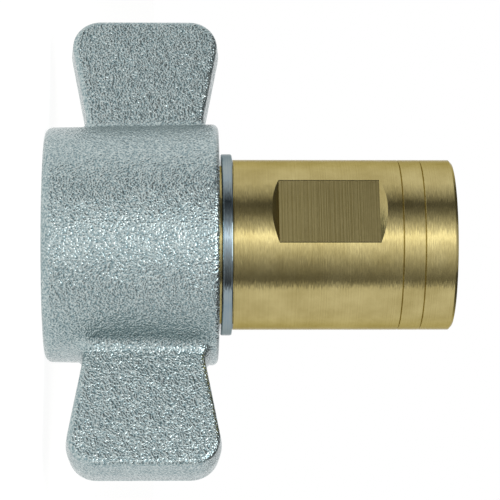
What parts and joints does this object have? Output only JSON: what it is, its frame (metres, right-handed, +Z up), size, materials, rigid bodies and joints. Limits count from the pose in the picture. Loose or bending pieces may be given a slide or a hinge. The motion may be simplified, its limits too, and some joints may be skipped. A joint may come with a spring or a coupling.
{
  "type": "female coupler valve",
  "caption": "Female half of a screw-together hydraulic coupling: brass body with wrench flats and a pipe port, a swivelling cast wing nut, and a sprung sleeve valve inside.",
  "frame": {"origin": "on the coupler's axis, at the plane of the wing nut's open mouth", "axes": "+Z up the coupler's axis, from the wing nut's mouth that it stands on to the pipe port; +X along one wing of the nut; -Y out of one wrench flat"},
  "size_m": [0.1284, 0.0638, 0.107],
  "materials": {
    "zinc_plated_casting": "matte",
    "turned_brass": "satin",
    "zinc_plated_spring_steel": "satin",
    "seal_rubber": "matte",
    "valve_brass": "satin",
    "backup_plastic": "matte",
    "black_spring_steel": "satin",
    "bright_steel": "satin"
  },
  "bodies": {
    "body": {"coupler_body": "turned_brass", "nut_retaining_ring": "zinc_plated_spring_steel", "face_gasket": "seal_rubber", "sleeve_o_ring": "seal_rubber", "sleeve_backup_ring": "backup_plastic", "valve_stem": "valve_brass", "stem_o_ring": "seal_rubber", "stem_spider": "valve_brass", "spider_circlip": "black_spring_steel", "stem_lock_washer": "bright_steel", "stem_lock_nut": "bright_steel", "valve_spring": "bright_steel"},
    "wing_nut": {"wing_nut": "zinc_plated_casting"},
    "valve_sleeve": {"valve_sleeve": "valve_brass"}
  },
  "joints": [
    {"name": "nut_swivel", "type": "hinge", "parent": "body", "child": "wing_nut", "pos_m": [0, 0, 0.035], "axis": [0, 0, 1], "continuous": true},
    {"name": "valve_slide", "type": "slide", "parent": "body", "child": "valve_sleeve", "axis": [0, 0, 1], "range_m": [0, 0.009], "stiffness_N_per_m": 2000, "springref_m": -0.002, "deforming": ["valve_spring"]}
  ]
}
